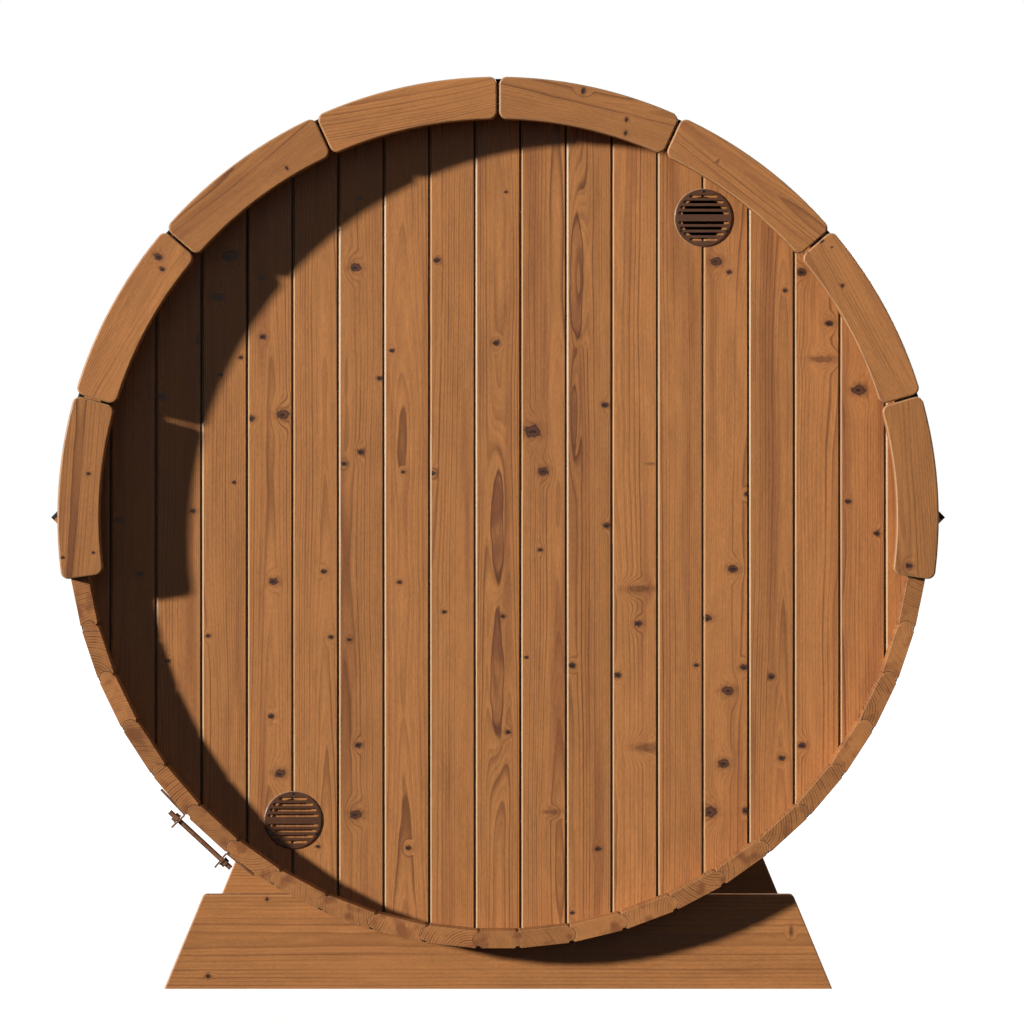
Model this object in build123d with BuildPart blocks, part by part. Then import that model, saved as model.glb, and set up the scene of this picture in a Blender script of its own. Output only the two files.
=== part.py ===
# Barrel sauna: a lying barrel of bead-and-cove staves on two cradles, closed by boarded end walls.
# Millimetres. The ground is Z = 0, the barrel's axis runs along Y above the origin,
# the vented end wall faces -Y and the end wall with the door faces +Y.
import os
from math import cos, floor, hypot, radians, sin, sqrt, tan

from build123d import *

# Clearances
fit_gap = 0.3  # between pieces that seat on each other
joint_gap = 0.4  # between a bead and the cove around it

# Barrel
barrel_inner_flat = 950.0  # from the axis to the inner face of a stave
stave_thickness = 40.0
stave_length = 2300.0
keel_clearance = 103.5  # from the ground to the underside of the keel stave
keel_angle = 5.26  # degrees of the circle that the narrow keel stave takes
staves_per_side = 24
staves_per_group = 6

# Stave edges
bead_radius = 16.7
bead_reach = 13.0  # how far the bead stands past the joint
inner_notch_half_width = 5.0
inner_notch_depth = 5.0
outer_notch_half_width = 7.5
outer_notch_floor = 3.5  # half width of the flat bottom
outer_notch_depth = 4.7

# End walls
wall_recess = 105.0  # from the stave ends to the outer face of a wall
wall_thickness = 40.0
croze_depth = 8.0  # groove in the staves that holds the wall
board_width = 105.5
board_groove_width = 9.0
board_groove_depth = 4.5

# Fascia round the upper part of each end
fascia_lap_outside = 20.0  # past the outer face of the staves
fascia_lap_inside = 37.0  # past the inner face of the staves
fascia_thickness = 43.0
fascia_end_angle = 98.3  # from the crown to the lowest end
fascia_segments_per_side = 4
fascia_joint = 4.6
fascia_corner_radius = 18.0
fascia_arris = 3.0

# Cradles
cradle_height = 219.0
cradle_bottom_half = 775.0
cradle_top_half = 684.0
cradle_thickness = 45.0
cradle_inset = 135.0  # from the stave ends to the outer face of a cradle
cradle_corner_radius = 10.0
cradle_arris = 4.0  # rounding of its edges, apart from the seat and the foot

# Steel bands and their tensioners
band_width = 24.0
band_thickness = 1.0
band_inset = 60.0  # from the stave ends to the middle of an end band
lug_angle_low = 39.1  # degrees up from the keel on the left side
lug_angle_high = 46.35
lug_thickness = 4.5
lug_height = 48.5
lug_foot_length = 83.0
lug_bend_radius = 4.0
rod_diameter = 12.0
rod_height = 23.0  # from the staves to the middle of the rod
rod_overhang = 32.0  # past each lug
nut_width = 18.0  # across the flats
nut_thickness = 10.0
washer_diameter = 24.0
washer_thickness = 2.5

# Roof
roof_thickness = 4.0
batten_reach = 37.0  # from the staves to the tip of a batten with its edge strip
edge_strip_thickness = 9.0

# Vents in the near end wall
vent_offset_boards = 4.5  # sideways from the axis, in boards
upper_vent_margin = 117.7  # from the round edge of the wall to the middle of a vent
lower_vent_margin = 111.1
vent_cover_diameter = 135.0
vent_cover_thickness = 4.5
vent_cover_arris = 3.8
vent_hole_diameter = 99.0
vent_slot_height = 6.6
vent_slot_pitch = 12.9
vent_slot_offset = 11.2  # from the middle of the cover to the first slot
vent_slots_each_way = 4
vent_slot_margin = 8.0  # from the cover's edge to the ends of the slots
vent_screw_hole = 4.0
vent_screw_margin = 6.2  # from the cover's edge to the middle of a screw hole
vent_screws = 3
damper_thickness = 20.0
damper_recess = 6.0  # from the face of the wall

# Door in the far end wall
door_leaf_width = 610.0
door_corner_margin = 38.5  # from the round edge of the wall to the corners of the door frame
door_leaf_thickness = 40.0
door_gap = 3.0
door_frame_width = 42.0
door_frame_proud = 12.0  # past the outer face of the wall
hinge_height = 90.0
hinge_barrel_diameter = 14.0
hinge_leaf_width = 34.0
hinge_leaf_thickness = 3.0
hinge_spacing = 620.0
pull_length = 420.0
pull_width = 34.0
pull_depth = 30.0
pull_standoff = 35.0
pull_post_diameter = 22.0
pull_inset = 60.0  # from the free edge of the leaf to the middle of the pull

# Worked out from the sizes above
barrel_outer_flat = barrel_inner_flat + stave_thickness
fascia_outer_radius = barrel_outer_flat + fascia_lap_outside
fascia_inner_radius = barrel_inner_flat - fascia_lap_inside
axis_height = keel_clearance + barrel_outer_flat
stave_angle = (360 - keel_angle) / (2 * staves_per_side + 1)
half_stave = stave_angle / 2
half_keel = keel_angle / 2
joint_radius = (barrel_inner_flat + stave_thickness / 2) / cos(radians(half_stave))
stave_end = stave_length / 2
wall_face = stave_end - wall_recess
croze_radius = barrel_inner_flat + croze_depth
wall_radius = croze_radius - fit_gap
stave_corner_radius = hypot(
    barrel_outer_flat, barrel_outer_flat * tan(radians(half_stave)) - outer_notch_half_width
)
band_flat = barrel_outer_flat + fit_gap
roof_flat = band_flat + band_thickness + fit_gap
board_joints = floor(wall_radius / board_width + 0.5)


# A plane across the barrel with its origin on the axis, facing the vented end
def across(y):
    return Plane(origin=(0, y, axis_height), x_dir=(1, 0, 0), z_dir=(0, -1, 0))


# A place on the joint line of a stave that lies at the bottom, side -1 left or 1 right
def on_joint(side, half_angle, radius):
    turn = radians(half_angle)
    return Location((side * radius * sin(turn), -radius * cos(turn), 0), (0, 0, side * half_angle))


# One stave lying at the bottom of a barrel whose axis is the Y axis
def make_stave(half_angle, left_edge, right_edge):
    lean = tan(radians(half_angle))
    inner, outer = barrel_inner_flat, barrel_outer_flat
    corner = 1 / cos(radians(half_angle))
    with BuildPart() as stave:
        with BuildSketch(Plane.XZ):
            with BuildLine():
                Polyline(
                    (-inner * lean, -inner),
                    (inner * lean, -inner),
                    (outer * lean, -outer),
                    (-outer * lean, -outer),
                    close=True,
                )
            make_face()
            for side, edge in ((-1, left_edge), (1, right_edge)):
                # the bead's middle lies inside the stave that carries it
                shift = bead_radius - bead_reach
                inwards = -side * shift if edge == "bead" else side * shift
                with Locations(on_joint(side, half_angle, joint_radius)):
                    with Locations((inwards, 0)):
                        if edge == "bead":
                            Circle(bead_radius)
                        else:
                            Circle(bead_radius + joint_gap, mode=Mode.SUBTRACT)
                with Locations(on_joint(side, half_angle, inner * corner)):
                    Polygon(
                        (0, -inner_notch_depth),
                        (2 * inner_notch_half_width, inner_notch_depth),
                        (-2 * inner_notch_half_width, inner_notch_depth),
                        align=None,
                        mode=Mode.SUBTRACT,
                    )
                spread = outer_notch_half_width - outer_notch_floor
                with Locations(on_joint(side, half_angle, outer * corner)):
                    Polygon(
                        (-outer_notch_floor, outer_notch_depth),
                        (outer_notch_floor, outer_notch_depth),
                        (outer_notch_half_width + spread, -outer_notch_depth),
                        (-outer_notch_half_width - spread, -outer_notch_depth),
                        align=None,
                        mode=Mode.SUBTRACT,
                    )
        extrude(amount=stave_length / 2, both=True)
        # the groove that holds each end wall
        wall_middle = wall_face - wall_thickness / 2
        with Locations((0, -wall_middle, 0), (0, wall_middle, 0)):
            Cylinder(
                croze_radius,
                wall_thickness + 2 * fit_gap,
                rotation=(90, 0, 0),
                mode=Mode.SUBTRACT,
            )
    return stave.part


# The angle of a stave's middle from the keel, counted upwards from 0
def stave_middle(number):
    return half_keel + stave_angle * (number + 0.5)


# The many-sided outline of the staves, or of what lies on their flats
def stave_outline(flat):
    middles = [stave_middle(number) for number in range(staves_per_side)]
    normals = [0.0] + middles + [180.0] + [360 - angle for angle in reversed(middles)] + [360.0]
    corners = []
    for low, high in zip(normals, normals[1:]):
        middle = radians((low + high) / 2)
        radius = flat / cos(radians((high - low) / 2))
        corners.append((-radius * sin(middle), -radius * cos(middle)))
    return corners


def write(part, name):
    part.label = name
    export_step(part, f"parts/{name}.step")


os.makedirs("parts", exist_ok=True)

# Staves
keel_stave = make_stave(half_keel, "bead", "bead")
crown_stave = make_stave(half_stave, "cove", "cove")
left_stave = make_stave(half_stave, "bead", "cove")
right_stave = make_stave(half_stave, "cove", "bead")

for name, stave, turn in (("keel_stave", keel_stave, 0), ("crown_stave", crown_stave, 180)):
    with BuildPart() as single_stave:
        with Locations(Location((0, 0, axis_height), (0, turn, 0))):
            add(stave)
    write(single_stave.part, name)

for side_name, stave, way in (("left", left_stave, 1), ("right", right_stave, -1)):
    for group, group_name in enumerate(("bottom", "flank", "shoulder", "roof")):
        first = group * staves_per_group
        turns = [way * stave_middle(first + count) for count in range(staves_per_group)]
        with BuildPart() as stave_group:
            with Locations(*[Location((0, 0, axis_height), (0, turn, 0)) for turn in turns]):
                add(stave)
        write(stave_group.part, f"{group_name}_staves_{side_name}")

# Cradles, hollowed to the barrel
cradle_face = stave_end - cradle_inset
for name, back in (("cradle_near", cradle_thickness - cradle_face), ("cradle_far", cradle_face)):
    with BuildPart() as cradle:
        with BuildSketch(across(back)):
            with BuildLine():
                Polyline(
                    (-cradle_bottom_half, -axis_height),
                    (cradle_bottom_half, -axis_height),
                    (cradle_top_half, cradle_height - axis_height),
                    (-cradle_top_half, cradle_height - axis_height),
                    close=True,
                )
            make_face()
            fillet(vertices().group_by(Axis.Y)[-1], radius=cradle_corner_radius)
            Circle(stave_corner_radius + fit_gap, mode=Mode.SUBTRACT)
        extrude(amount=cradle_thickness)
        # the foot of each face stays sharp, and so does the seat
        for end in (0, -1):
            straight_edges = faces().sort_by(Axis.Y)[end].edges().filter_by(GeomType.LINE)
            fillet(straight_edges.sort_by(Axis.Z)[1:], radius=cradle_arris)
    write(cradle.part, name)

# The vented end wall
groove_places = [
    (side * (count + 0.5) * board_width, 0) for count in range(board_joints) for side in (-1, 1)
]
vent_offset = vent_offset_boards * board_width
upper_vent_rise = sqrt((wall_radius - upper_vent_margin) ** 2 - vent_offset**2)
lower_vent_drop = sqrt((wall_radius - lower_vent_margin) ** 2 - vent_offset**2)
vent_places = [(vent_offset, upper_vent_rise), (-vent_offset, -lower_vent_drop)]
with BuildPart() as vent_wall:
    with BuildSketch(across(-wall_face + wall_thickness)):
        Circle(wall_radius)
        with Locations(*vent_places):
            Circle(vent_hole_diameter / 2, mode=Mode.SUBTRACT)
    extrude(amount=wall_thickness)
    with BuildSketch(Plane(origin=(0, -wall_face, axis_height))):
        with Locations(*groove_places):
            Polygon(
                (0, board_groove_depth),
                (-board_groove_width, -board_groove_depth),
                (board_groove_width, -board_groove_depth),
                align=None,
            )
    extrude(amount=wall_radius, both=True, mode=Mode.SUBTRACT)
write(vent_wall.part, "vent_wall")

# Vent covers: thin discs with a rounded edge, level slots and screw holes
vent_cover_radius = vent_cover_diameter / 2
vent_slot_reach = vent_cover_radius - vent_slot_margin
vent_screw_ring = vent_cover_radius - vent_screw_margin
for name, place in zip(("vent_cover_upper", "vent_cover_lower"), vent_places):
    with BuildPart() as vent_cover:
        with BuildSketch(across(-wall_face - fit_gap)):
            with Locations(place):
                Circle(vent_cover_radius)
        extrude(amount=vent_cover_thickness)
        fillet(faces().sort_by(Axis.Y)[0].edges(), radius=vent_cover_arris)
        with BuildSketch(across(-wall_face - fit_gap)):
            with Locations(place):
                with PolarLocations(vent_screw_ring, vent_screws, start_angle=90):
                    Circle(vent_screw_hole / 2)
            for count in range(vent_slots_each_way):
                rise = vent_slot_offset + count * vent_slot_pitch
                half_length = sqrt(vent_slot_reach**2 - rise**2)
                for way in (-1, 1):
                    with Locations((place[0], place[1] + way * rise)):
                        SlotOverall(2 * half_length, vent_slot_height)
        extrude(amount=vent_cover_thickness, mode=Mode.SUBTRACT)
    write(vent_cover.part, name)

# The wooden damper set into the lower vent's hole
with BuildPart() as vent_damper:
    with BuildSketch(across(-wall_face + damper_recess + damper_thickness)):
        with Locations(vent_places[1]):
            Circle(vent_hole_diameter / 2 - fit_gap)
    extrude(amount=damper_thickness)
write(vent_damper.part, "vent_damper_lower")

# The far end wall in four panels round the door frame
frame_half_width = door_leaf_width / 2 + door_gap + door_frame_width
frame_half_height = sqrt((wall_radius - door_corner_margin) ** 2 - frame_half_width**2)
door_leaf_height = 2 * (frame_half_height - door_gap - door_frame_width)
opening_half_width = frame_half_width + fit_gap
opening_half_height = frame_half_height + fit_gap
side_panel_width = wall_radius - opening_half_width
cap_panel_height = wall_radius - opening_half_height
panels = {
    "door_wall_left": (-1, 0),
    "door_wall_right": (1, 0),
    "door_wall_over": (0, 1),
    "door_wall_under": (0, -1),
}
for name, (sideways, upwards) in panels.items():
    with BuildPart() as wall_panel:
        with BuildSketch(across(wall_face)):
            Circle(wall_radius)
            if sideways:
                with Locations((sideways * (opening_half_width + side_panel_width / 2), 0)):
                    Rectangle(side_panel_width, 2 * wall_radius, mode=Mode.INTERSECT)
            else:
                with Locations((0, upwards * (opening_half_height + cap_panel_height / 2))):
                    Rectangle(
                        2 * (opening_half_width - fit_gap), cap_panel_height, mode=Mode.INTERSECT
                    )
        extrude(amount=wall_thickness)
        with BuildSketch(Plane(origin=(0, wall_face, axis_height))):
            with Locations(*groove_places):
                Polygon(
                    (0, -board_groove_depth),
                    (board_groove_width, board_groove_depth),
                    (-board_groove_width, board_groove_depth),
                    align=None,
                )
        extrude(amount=wall_radius, both=True, mode=Mode.SUBTRACT)
    write(wall_panel.part, name)

# Door frame: two jambs between a head and a sill
frame_depth = wall_thickness + door_frame_proud
with BuildPart() as door_frame:
    with BuildSketch(across(wall_face + door_frame_proud)):
        jamb_middle = frame_half_width - door_frame_width / 2
        rail_middle = frame_half_height - door_frame_width / 2
        with Locations((-jamb_middle, 0), (jamb_middle, 0)):
            Rectangle(door_frame_width, 2 * (frame_half_height - door_frame_width - fit_gap))
        with Locations((0, -rail_middle), (0, rail_middle)):
            Rectangle(2 * frame_half_width, door_frame_width)
    extrude(amount=frame_depth)
write(door_frame.part, "door_frame")

# Boarded door leaf, flush with the frame
leaf_face = wall_face + door_frame_proud
leaf_joints = floor(door_leaf_width / board_width / 2 + 0.5)
with BuildPart() as door_leaf:
    with BuildSketch(across(leaf_face)):
        Rectangle(door_leaf_width, door_leaf_height)
    extrude(amount=door_leaf_thickness)
    with BuildSketch(Plane(origin=(0, leaf_face, axis_height))):
        with Locations(
            *[
                (side * (count + 0.5) * board_width, 0)
                for count in range(leaf_joints)
                for side in (-1, 1)
            ]
        ):
            Polygon(
                (0, -board_groove_depth),
                (board_groove_width, board_groove_depth),
                (-board_groove_width, board_groove_depth),
                align=None,
            )
    extrude(amount=door_leaf_height, both=True, mode=Mode.SUBTRACT)
write(door_leaf.part, "door_leaf")

# Butt hinges on the outer face, astride the gap at the left jamb
hinge_x = -door_leaf_width / 2 - door_gap / 2
with BuildPart() as door_hinges:
    for level in (-1, 0, 1):
        with BuildSketch(Plane(origin=(0, leaf_face + fit_gap, axis_height + level * hinge_spacing))):
            with Locations((hinge_x, hinge_leaf_thickness / 2)):
                Rectangle(2 * hinge_leaf_width, hinge_leaf_thickness)
            with Locations((hinge_x, hinge_barrel_diameter / 2)):
                Circle(hinge_barrel_diameter / 2)
        extrude(amount=hinge_height / 2, both=True)
write(door_hinges.part, "door_hinges")

# Wooden pull on two posts
pull_x = door_leaf_width / 2 - pull_inset
post_rise = pull_length / 2 - pull_width
with BuildPart() as door_pull:
    with BuildSketch(across(leaf_face + fit_gap + pull_standoff)):
        with Locations((pull_x, post_rise), (pull_x, -post_rise)):
            Circle(pull_post_diameter / 2)
    extrude(amount=pull_standoff)
    with BuildSketch(across(leaf_face + fit_gap + pull_standoff + pull_depth)):
        with Locations((pull_x, 0)):
            SlotOverall(pull_length, pull_width, rotation=90)
    extrude(amount=pull_depth)
write(door_pull.part, "door_pull")

# One fascia segment at the crown, its back on the stave ends
segment_angle = fascia_end_angle / fascia_segments_per_side
half_segment = radians(segment_angle / 2)
with BuildPart() as fascia_segment:
    with BuildSketch(Plane.XZ):
        tip = fascia_joint / 2 / sin(half_segment)
        with BuildLine():
            Polyline(
                (0, tip),
                (-2 * fascia_outer_radius * tan(half_segment), tip + 2 * fascia_outer_radius),
                (2 * fascia_outer_radius * tan(half_segment), tip + 2 * fascia_outer_radius),
                close=True,
            )
        make_face()
        Circle(fascia_outer_radius, mode=Mode.INTERSECT)
        Circle(fascia_inner_radius, mode=Mode.SUBTRACT)
        fillet(vertices(), radius=fascia_corner_radius)
    extrude(amount=fascia_thickness)
    chamfer(faces().sort_by(Axis.Y)[0].edges(), length=fascia_arris)

# Fascia: four segments down each side of each end, with open joints between them
for end_name, turn_end in (("near", 0), ("far", 180)):
    for side_name, side in (("left", -1), ("right", 1)):
        middles = [(count + 0.5) * segment_angle for count in range(fascia_segments_per_side)]
        # the far end's segments are the near end's turned about the vertical
        back = -(stave_end + fit_gap) if turn_end == 0 else stave_end + fit_gap
        with BuildPart() as fascia:
            for middle in middles:
                lean = Location((0, back, axis_height), (0, side * middle, 0))
                with Locations(lean * Location((0, 0, 0), (0, 0, turn_end))):
                    add(fascia_segment.part)
        write(fascia.part, f"fascia_{end_name}_{side_name}")

# Steel bands: strips drawn tight over the staves, open between the lugs on the left side
band_reach = 2 * barrel_outer_flat
with BuildPart() as band:
    with BuildSketch(Plane.XZ.offset(-band_width / 2)):
        with BuildLine():
            Polyline(*stave_outline(band_flat + band_thickness), close=True)
        make_face()
        with BuildLine():
            Polyline(*stave_outline(band_flat), close=True)
        make_face(mode=Mode.SUBTRACT)
        with BuildLine():
            low, high = radians(lug_angle_low), radians(lug_angle_high)
            Polyline(
                (0, 0),
                (-band_reach * sin(low), -band_reach * cos(low)),
                (-band_reach * sin(high), -band_reach * cos(high)),
                close=True,
            )
        make_face(mode=Mode.SUBTRACT)
    extrude(amount=band_width)

band_places = {
    "near": -(stave_end - band_inset),
    "middle": 0.0,
    "far": stave_end - band_inset,
}
for name, place in band_places.items():
    with BuildPart() as placed_band:
        with Locations((0, place, axis_height)):
            add(band.part)
    write(placed_band.part, f"band_{name}")

# A tensioner drawn at the keel: two lugs on the band's ends and a threaded rod between them
lug_middle = (lug_angle_low + lug_angle_high) / 2
lug_spread = (lug_angle_high - lug_angle_low) / 2
lug_seat = (band_flat + band_thickness) / cos(radians(half_stave)) + fit_gap
rod_radius = barrel_outer_flat + rod_height
with BuildPart() as lug:
    with BuildSketch(Plane.XZ.offset(-band_width / 2)):
        with BuildLine():
            Polyline(
                (0, -lug_seat),
                (lug_foot_length, -lug_seat),
                (lug_foot_length, -lug_seat - lug_thickness),
                (lug_thickness, -lug_seat - lug_thickness),
                (lug_thickness, -barrel_outer_flat - lug_height),
                (0, -barrel_outer_flat - lug_height),
                close=True,
            )
        make_face()
        corners = vertices().sort_by(Axis.Y)[-4:].sort_by(Axis.X)
        fillet(corners[0], radius=lug_bend_radius + lug_thickness)
        fillet(corners[1], radius=lug_bend_radius)
    extrude(amount=band_width)

with BuildPart() as lugs:
    with Locations(Location((0, 0, 0), (0, -lug_spread, 0))):
        add(lug.part)
    with Locations(Location((0, 0, 0), (0, lug_spread, 0))):
        add(lug.part.mirror(Plane.YZ))
    with Locations((0, 0, -rod_radius)):
        Cylinder(
            rod_diameter / 2 + fit_gap,
            4 * lug_foot_length,
            rotation=(0, 90, 0),
            mode=Mode.SUBTRACT,
        )

# the washers clear the outer corner of the leaning lugs
washer_reach = rod_radius + washer_diameter / 2
washer_face = washer_reach * tan(radians(lug_spread)) + lug_thickness / cos(radians(lug_spread))
washer_face += fit_gap
rod_half = rod_radius * tan(radians(lug_spread)) + rod_overhang
with BuildPart() as rod:
    with Locations((0, 0, -rod_radius)):
        Cylinder(rod_diameter / 2, 2 * rod_half, rotation=(0, 90, 0))
    for side in (-1, 1):
        with BuildSketch(Plane(origin=(side * washer_face, 0, -rod_radius), z_dir=(side, 0, 0))):
            Circle(washer_diameter / 2)
        extrude(amount=washer_thickness)
        nut_face = side * (washer_face + washer_thickness)
        with BuildSketch(Plane(origin=(nut_face, 0, -rod_radius), z_dir=(side, 0, 0))):
            RegularPolygon(nut_width / 2, 6, major_radius=False)
        extrude(amount=nut_thickness)

for name, place in band_places.items():
    with BuildPart() as tensioner:
        with Locations(Location((0, place, axis_height), (0, lug_middle, 0))):
            add(rod.part)
            add(lugs.part)
    write(tensioner.part, f"tensioner_{name}")

# Roof: a covering over the upper half, which ends on the edge strips of two right-angled battens
batten_tip = barrel_outer_flat + batten_reach
strip_step = edge_strip_thickness * sqrt(2)  # the strip's thickness measured level
covering_reach = batten_tip + sqrt(2) * fit_gap
with BuildPart() as roof_covering:
    with BuildSketch(Plane.XZ.offset(-stave_end)):
        with BuildLine():
            Polyline(*stave_outline(roof_flat + roof_thickness), close=True)
        make_face()
        with BuildLine():
            Polyline(*stave_outline(roof_flat), close=True)
        make_face(mode=Mode.SUBTRACT)
        Rectangle(
            2 * fascia_outer_radius,
            fascia_outer_radius,
            align=(Align.CENTER, Align.MIN),
            mode=Mode.INTERSECT,
        )
        for side in (-1, 1):
            with BuildLine():
                Polyline(
                    (side * covering_reach, 0),
                    (side * barrel_inner_flat, covering_reach - barrel_inner_flat),
                    (side * barrel_inner_flat, 0),
                    close=True,
                )
            make_face(mode=Mode.SUBTRACT)
    extrude(amount=stave_length)
with BuildPart() as placed_roof:
    with Locations((0, 0, axis_height)):
        add(roof_covering.part)
write(placed_roof.part, "roof_covering")

# Battens lie on the staves and are notched over the bands
with BuildPart() as batten:
    wood_tip = batten_tip - strip_step / 2
    wood_top = batten_tip - strip_step - sqrt(2) * fit_gap - barrel_inner_flat
    with BuildSketch(Plane.XZ.offset(-stave_end)):
        with BuildLine():
            Polyline(
                (wood_tip - sqrt(2) * fit_gap, -strip_step / 2),
                (barrel_inner_flat, wood_top),
                (barrel_inner_flat, barrel_inner_flat - batten_tip),
                (wood_tip, -strip_step / 2),
                close=True,
            )
        make_face()
        with BuildLine():
            Polyline(*stave_outline(barrel_outer_flat + fit_gap), close=True)
        make_face(mode=Mode.SUBTRACT)
    extrude(amount=stave_length)
    for place in band_places.values():
        with BuildSketch(Plane.XZ.offset(-place - band_width / 2 - fit_gap)):
            with BuildLine():
                Polyline(*stave_outline(roof_flat), close=True)
            make_face()
        extrude(amount=band_width + 2 * fit_gap, mode=Mode.SUBTRACT)

# An edge strip lies on the batten's upper face, from its tip to the covering
with BuildPart() as edge_strip:
    with BuildSketch(Plane.XZ.offset(-stave_end)):
        with BuildLine():
            Polyline(
                (batten_tip, 0),
                (barrel_inner_flat, batten_tip - barrel_inner_flat),
                (barrel_inner_flat, batten_tip - strip_step - barrel_inner_flat),
                (batten_tip - strip_step / 2, -strip_step / 2),
                close=True,
            )
        make_face()
        with BuildLine():
            Polyline(*stave_outline(roof_flat), close=True)
        make_face(mode=Mode.SUBTRACT)
    extrude(amount=stave_length)

for piece_name, piece in (("roof_batten", batten), ("roof_edge", edge_strip)):
    for side_name, side in (("left", -1), ("right", 1)):
        with BuildPart() as placed_piece:
            with Locations((0, 0, axis_height)):
                add(piece.part if side == 1 else piece.part.mirror(Plane.YZ))
        write(placed_piece.part, f"{piece_name}_{side_name}")
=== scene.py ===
# Barrel sauna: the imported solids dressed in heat-treated wood, felt, steel and brown vent covers.
import math
import random

import bmesh
import bpy
from mathutils import Matrix, Vector


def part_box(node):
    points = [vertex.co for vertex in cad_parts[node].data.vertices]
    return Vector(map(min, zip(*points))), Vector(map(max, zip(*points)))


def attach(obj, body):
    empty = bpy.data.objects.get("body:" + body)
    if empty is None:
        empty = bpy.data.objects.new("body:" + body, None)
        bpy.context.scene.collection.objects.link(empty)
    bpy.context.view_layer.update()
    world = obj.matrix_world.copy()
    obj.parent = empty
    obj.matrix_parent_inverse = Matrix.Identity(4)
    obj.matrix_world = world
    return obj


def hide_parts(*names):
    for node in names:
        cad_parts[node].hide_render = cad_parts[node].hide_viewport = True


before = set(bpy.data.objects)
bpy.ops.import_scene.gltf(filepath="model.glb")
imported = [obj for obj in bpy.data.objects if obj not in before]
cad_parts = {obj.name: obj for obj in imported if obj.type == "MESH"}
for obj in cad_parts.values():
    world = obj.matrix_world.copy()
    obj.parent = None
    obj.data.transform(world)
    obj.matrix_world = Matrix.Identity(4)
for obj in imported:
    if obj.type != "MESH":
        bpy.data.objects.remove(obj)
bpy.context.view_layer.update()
print("frame loaded:", len(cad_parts), "nodes")

scene = bpy.context.scene
scene.view_settings.view_transform = "Standard"
mm = 0.001


def colour(red, green, blue):  # 0-255 as seen on a screen, to the linear value a node takes
    values = []
    for level in (red, green, blue):
        level /= 255
        values.append(level / 12.92 if level <= 0.04045 else ((level + 0.055) / 1.055) ** 2.4)
    return (*values, 1.0)


# ---- camera, light and floor
studio = {
    "cameraPlace": (0.0319, -15.57, 1.1059),
    "lens": 220.65,
    "viewReach": 200.0,
    "sunTravel": (0.79, 0.575, -0.21),  # from the viewer's left, a little above level
    "sunStrength": 5.2,
    "sunAngle": 4.0,
    "backTravel": (-0.62, -0.66, -0.42),  # lights the sides the viewer doesn't see
    "backStrength": 3.6,
    "backAngle": 16.0,
    "fill": 0.032,
    "fillColour": (165, 214, 255),
    "floorSize": 60.0,
    "floorGlow": 0.78,
    "floorColour": (202, 201, 199),
    "floorBounce": (70, 69, 68),  # the floor's colour in the light it throws on the object
}

camera = bpy.data.objects.new("camera", bpy.data.cameras.new("camera"))
scene.collection.objects.link(camera)
camera.location = studio["cameraPlace"]
camera.rotation_euler = (math.radians(90), 0, 0)
camera.data.lens = studio["lens"]
camera.data.clip_end = studio["viewReach"]
scene.camera = camera


def addSun(name, travel, strength, angle):
    lamp = bpy.data.objects.new(name, bpy.data.lights.new(name, "SUN"))
    lamp.data.energy = strength
    lamp.data.angle = math.radians(angle)
    lamp.rotation_euler = Vector(travel).to_track_quat("-Z", "Y").to_euler()
    scene.collection.objects.link(lamp)


addSun("keySun", studio["sunTravel"], studio["sunStrength"], studio["sunAngle"])
addSun("backSun", studio["backTravel"], studio["backStrength"], studio["backAngle"])


def link(tree, value, socket):  # a number or a colour is set, anything else is linked
    if isinstance(value, (int, float, tuple, str)):
        socket.default_value = value
    else:
        tree.links.new(value, socket)


def addNode(tree, kind, **settings):
    node = tree.nodes.new(kind)
    for key, value in settings.items():
        setattr(node, key, value)
    return node


def math2(tree, operation, first, second=None, clamp=False):
    node = addNode(tree, "ShaderNodeMath", operation=operation, use_clamp=clamp)
    link(tree, first, node.inputs[0])
    if second is not None:
        link(tree, second, node.inputs[1])
    return node.outputs[0]


def plus(tree, first, second):
    return math2(tree, "ADD", first, second)


def minus(tree, first, second):
    return math2(tree, "SUBTRACT", first, second)


def times(tree, first, second, clamp=False):
    return math2(tree, "MULTIPLY", first, second, clamp)


def over(tree, first, second):
    return math2(tree, "DIVIDE", first, second)


def hypotenuse(tree, first, second):
    squares = [math2(tree, "POWER", side, 2.0) for side in (first, second)]
    return math2(tree, "SQRT", plus(tree, *squares))


def spread(tree, value, fromLow, fromHigh, toLow=0.0, toHigh=1.0, smooth=True):
    node = addNode(tree, "ShaderNodeMapRange", clamp=True)
    node.interpolation_type = "SMOOTHSTEP" if smooth else "LINEAR"
    link(tree, value, node.inputs["Value"])
    for level, name in zip((fromLow, fromHigh, toLow, toHigh), ("From Min", "From Max", "To Min", "To Max")):
        link(tree, level, node.inputs[name])
    return node.outputs["Result"]


def vectorFrom(tree, *values):
    node = addNode(tree, "ShaderNodeCombineXYZ")
    for socket, value in zip(node.inputs, values):
        link(tree, value, socket)
    return node.outputs[0]


def splitVector(tree, vector):
    node = addNode(tree, "ShaderNodeSeparateXYZ")
    link(tree, vector, node.inputs[0])
    return node.outputs


def scaledVector(tree, vector, scales):
    node = addNode(tree, "ShaderNodeVectorMath", operation="MULTIPLY")
    node.inputs[1].default_value = scales
    link(tree, vector, node.inputs[0])
    return node.outputs[0]


def noiseAt(tree, vector, scale, detail, roughness=0.5):
    node = wiredNode(
        tree, "ShaderNodeTexNoise", Vector=vector, Scale=scale, Detail=detail, Roughness=roughness
    )
    return node.outputs["Fac"]


def readAttribute(tree, name, output="Fac"):
    return addNode(tree, "ShaderNodeAttribute", attribute_name=name).outputs[output]


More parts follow.
